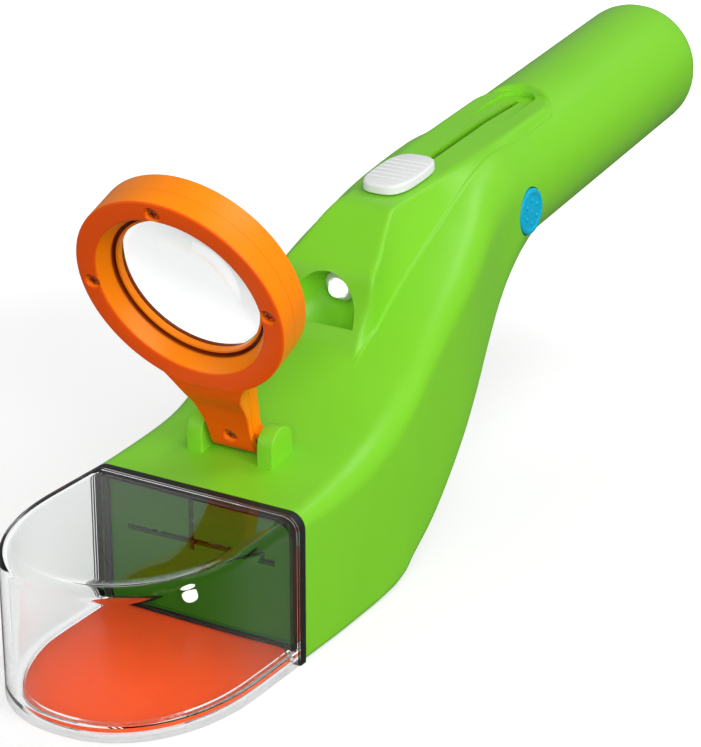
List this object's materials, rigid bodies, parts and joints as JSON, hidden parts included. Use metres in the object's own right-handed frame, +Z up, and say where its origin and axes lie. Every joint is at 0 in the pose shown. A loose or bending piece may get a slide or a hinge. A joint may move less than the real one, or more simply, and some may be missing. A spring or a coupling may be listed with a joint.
{
  "type": "bug vacuum",
  "caption": "Toy bug vacuum with a clear catching chamber, sliding trap door, folding magnifier, spot lamp, slider, power button and a straight handle.",
  "frame": {"origin": "under the middle of the part's box, on the plane of the flat underside that it lies on", "axes": "+Y from the clear chamber to the handle's end, +Z up, +X to the side with the power button"},
  "size_m": [0.0604, 0.308, 0.1158],
  "materials": {
    "green_plastic": "satin moulded, lime green",
    "clear_plastic": "clear, polished",
    "orange_plastic": "satin gloss, orange",
    "red_orange_plastic": "gloss, red orange",
    "dark_green_plastic": "satin, dark green",
    "black_rubber": "matte black",
    "black_plastic": "matte black",
    "white_plastic": "satin white",
    "blue_plastic": "satin blue",
    "board": "solder mask green",
    "steel": "plated steel",
    "cell_jacket": "printed steel jacket, plain dark grey",
    "wire_insulation": "soft insulation"
  },
  "bodies": {
    "housing": {"shell_left": "green_plastic", "shell_right": "green_plastic", "chamber_hood": "clear_plastic", "spot_lamp": "clear_plastic", "chamber_lamp": "clear_plastic", "bulkhead": "dark_green_plastic", "door_deck": "dark_green_plastic", "chamber_seal": "black_rubber", "bug_screen": "black_plastic", "fan_shroud": "black_plastic", "motor_bracket": "black_plastic", "power_switch": "black_plastic", "battery_tray": "black_plastic", "door_strap": "white_plastic", "spot_bezel": "white_plastic", "circuit_board": "board", "motor": "steel", "hinge_pin_left": "steel", "hinge_pin_right": "steel", "contact_front": "steel", "contact_rear": "steel", "housing_screw_1": "steel", "housing_screw_2": "steel", "housing_screw_3": "steel", "housing_screw_4": "steel", "housing_screw_5": "steel", "housing_screw_6": "steel", "battery_1": "cell_jacket", "battery_2": "cell_jacket", "battery_3": "cell_jacket", "wire_battery": "wire_insulation", "wire_motor": "wire_insulation", "wire_lamp": "wire_insulation"},
    "magnifier": {"magnifier_front_frame": "orange_plastic", "magnifier_rear_frame": "orange_plastic", "magnifier_lens": "clear_plastic", "frame_screw_1": "steel", "frame_screw_2": "steel", "frame_screw_3": "steel", "frame_screw_4": "steel"},
    "slider": {"slider_knob": "white_plastic", "slider_carriage": "black_plastic"},
    "door": {"trap_door": "red_orange_plastic"},
    "button": {"power_button": "blue_plastic"},
    "fan": {"fan_wheel": "white_plastic", "motor_shaft": "steel"},
    "cover": {"battery_cover": "green_plastic", "cover_screw": "steel"}
  },
  "joints": [
    {"name": "magnifier_tilt", "type": "hinge", "parent": "housing", "child": "magnifier", "pos_m": [0, -0.07797, 0.045], "axis": [1, 0, 0], "range_deg": [-62, 67.5]},
    {"name": "slider_slide", "type": "slide", "parent": "housing", "child": "slider", "axis": [0, 0.9942, 0.108], "range_m": [0, 0.048], "deforming": ["door_strap"]},
    {"name": "door_slide", "type": "slide", "parent": "housing", "child": "door", "axis": [0, 1, 0], "range_m": [0, 0.048]},
    {"name": "button_press", "type": "slide", "parent": "housing", "child": "button", "axis": [-1, 0, 0], "range_m": [0, 0.0015], "stiffness_N_per_m": 500, "springref_m": -0.0005},
    {"name": "fan_spin", "type": "hinge", "parent": "housing", "child": "fan", "pos_m": [0, -0.08197, 0.0202], "axis": [0, 1, 0], "continuous": true},
    {"name": "cover_removal", "type": "slide", "parent": "housing", "child": "cover", "axis": [0, 0.1236, -0.9923], "range_m": [0, 0.03]}
  ],
  "couplings": [
    {"joint": "door_slide", "follows": "slider_slide", "ratio": 1}
  ]
}
